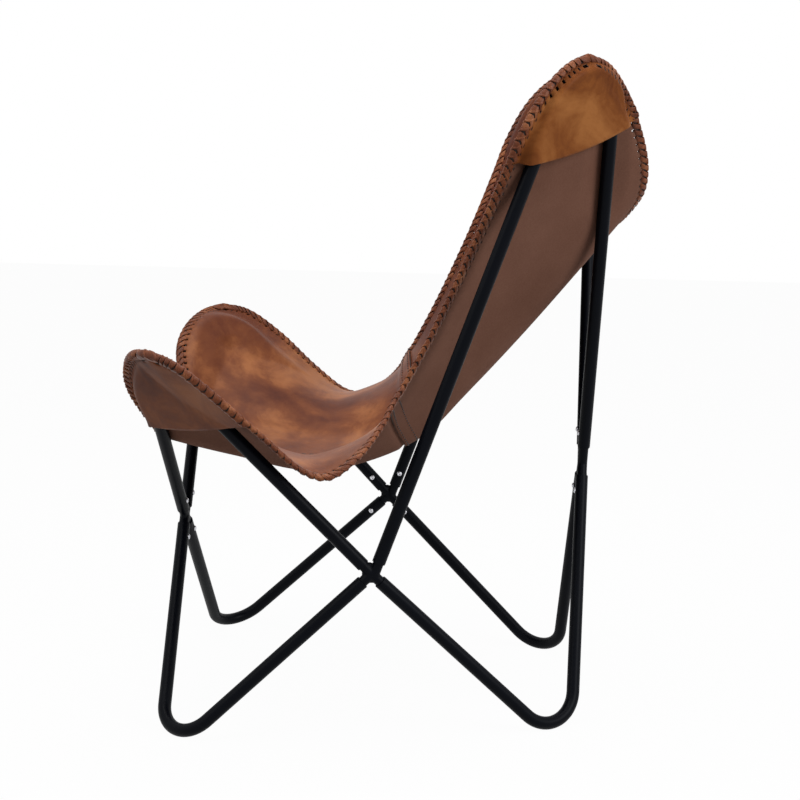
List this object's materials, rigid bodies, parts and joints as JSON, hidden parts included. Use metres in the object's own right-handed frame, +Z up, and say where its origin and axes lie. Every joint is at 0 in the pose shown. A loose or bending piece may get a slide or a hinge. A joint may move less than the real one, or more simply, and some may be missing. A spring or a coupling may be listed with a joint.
{
  "type": "butterfly sling chair",
  "caption": "Butterfly lounge chair: a laced leather sling hung by four pockets from bent tube bars over bent tube legs, all joined on bolted crosses.",
  "frame": {"origin": "on the floor, under the middle of the whole chair", "axes": "+Z up; the sitter faces -Y; the chair is a mirror image about the plane x = 0, and +X is the sitter's left"},
  "size_m": [0.7786, 0.7406, 0.964],
  "materials": {
    "black_steel": "satin black powder coat",
    "screw_steel": "zinc plated",
    "tan_leather": "waxed tan leather with darker patches",
    "pocket_leather": "smooth amber tan leather",
    "lace_leather": "dark brown leather lace"
  },
  "bodies": {
    "root": {"front_leg_left": "black_steel", "front_leg_right": "black_steel", "back_leg_left": "black_steel", "back_leg_right": "black_steel", "front_bar_left": "black_steel", "front_bar_right": "black_steel", "back_bar_left": "black_steel", "back_bar_right": "black_steel", "front_cross": "black_steel", "back_cross": "black_steel", "side_cross_left": "black_steel", "side_cross_right": "black_steel", "screw_front_leg_left": "screw_steel", "screw_front_leg_right": "screw_steel", "screw_front_bar_left": "screw_steel", "screw_front_bar_right": "screw_steel", "screw_back_leg_left": "screw_steel", "screw_back_leg_right": "screw_steel", "screw_back_bar_left": "screw_steel", "screw_back_bar_right": "screw_steel", "screw_left_front_leg": "screw_steel", "screw_left_back_leg": "screw_steel", "screw_left_front_bar": "screw_steel", "screw_left_back_bar": "screw_steel", "screw_right_front_leg": "screw_steel", "screw_right_back_leg": "screw_steel", "screw_right_front_bar": "screw_steel", "screw_right_back_bar": "screw_steel", "seat_panel_left": "tan_leather", "seat_panel_right": "tan_leather", "back_panel": "tan_leather", "front_pocket_left": "pocket_leather", "front_pocket_right": "pocket_leather", "back_pocket_left": "pocket_leather", "back_pocket_right": "pocket_leather", "front_lacing": "lace_leather", "side_lacing_left": "lace_leather", "side_lacing_right": "lace_leather", "top_lacing": "lace_leather"}
  },
  "joints": []
}
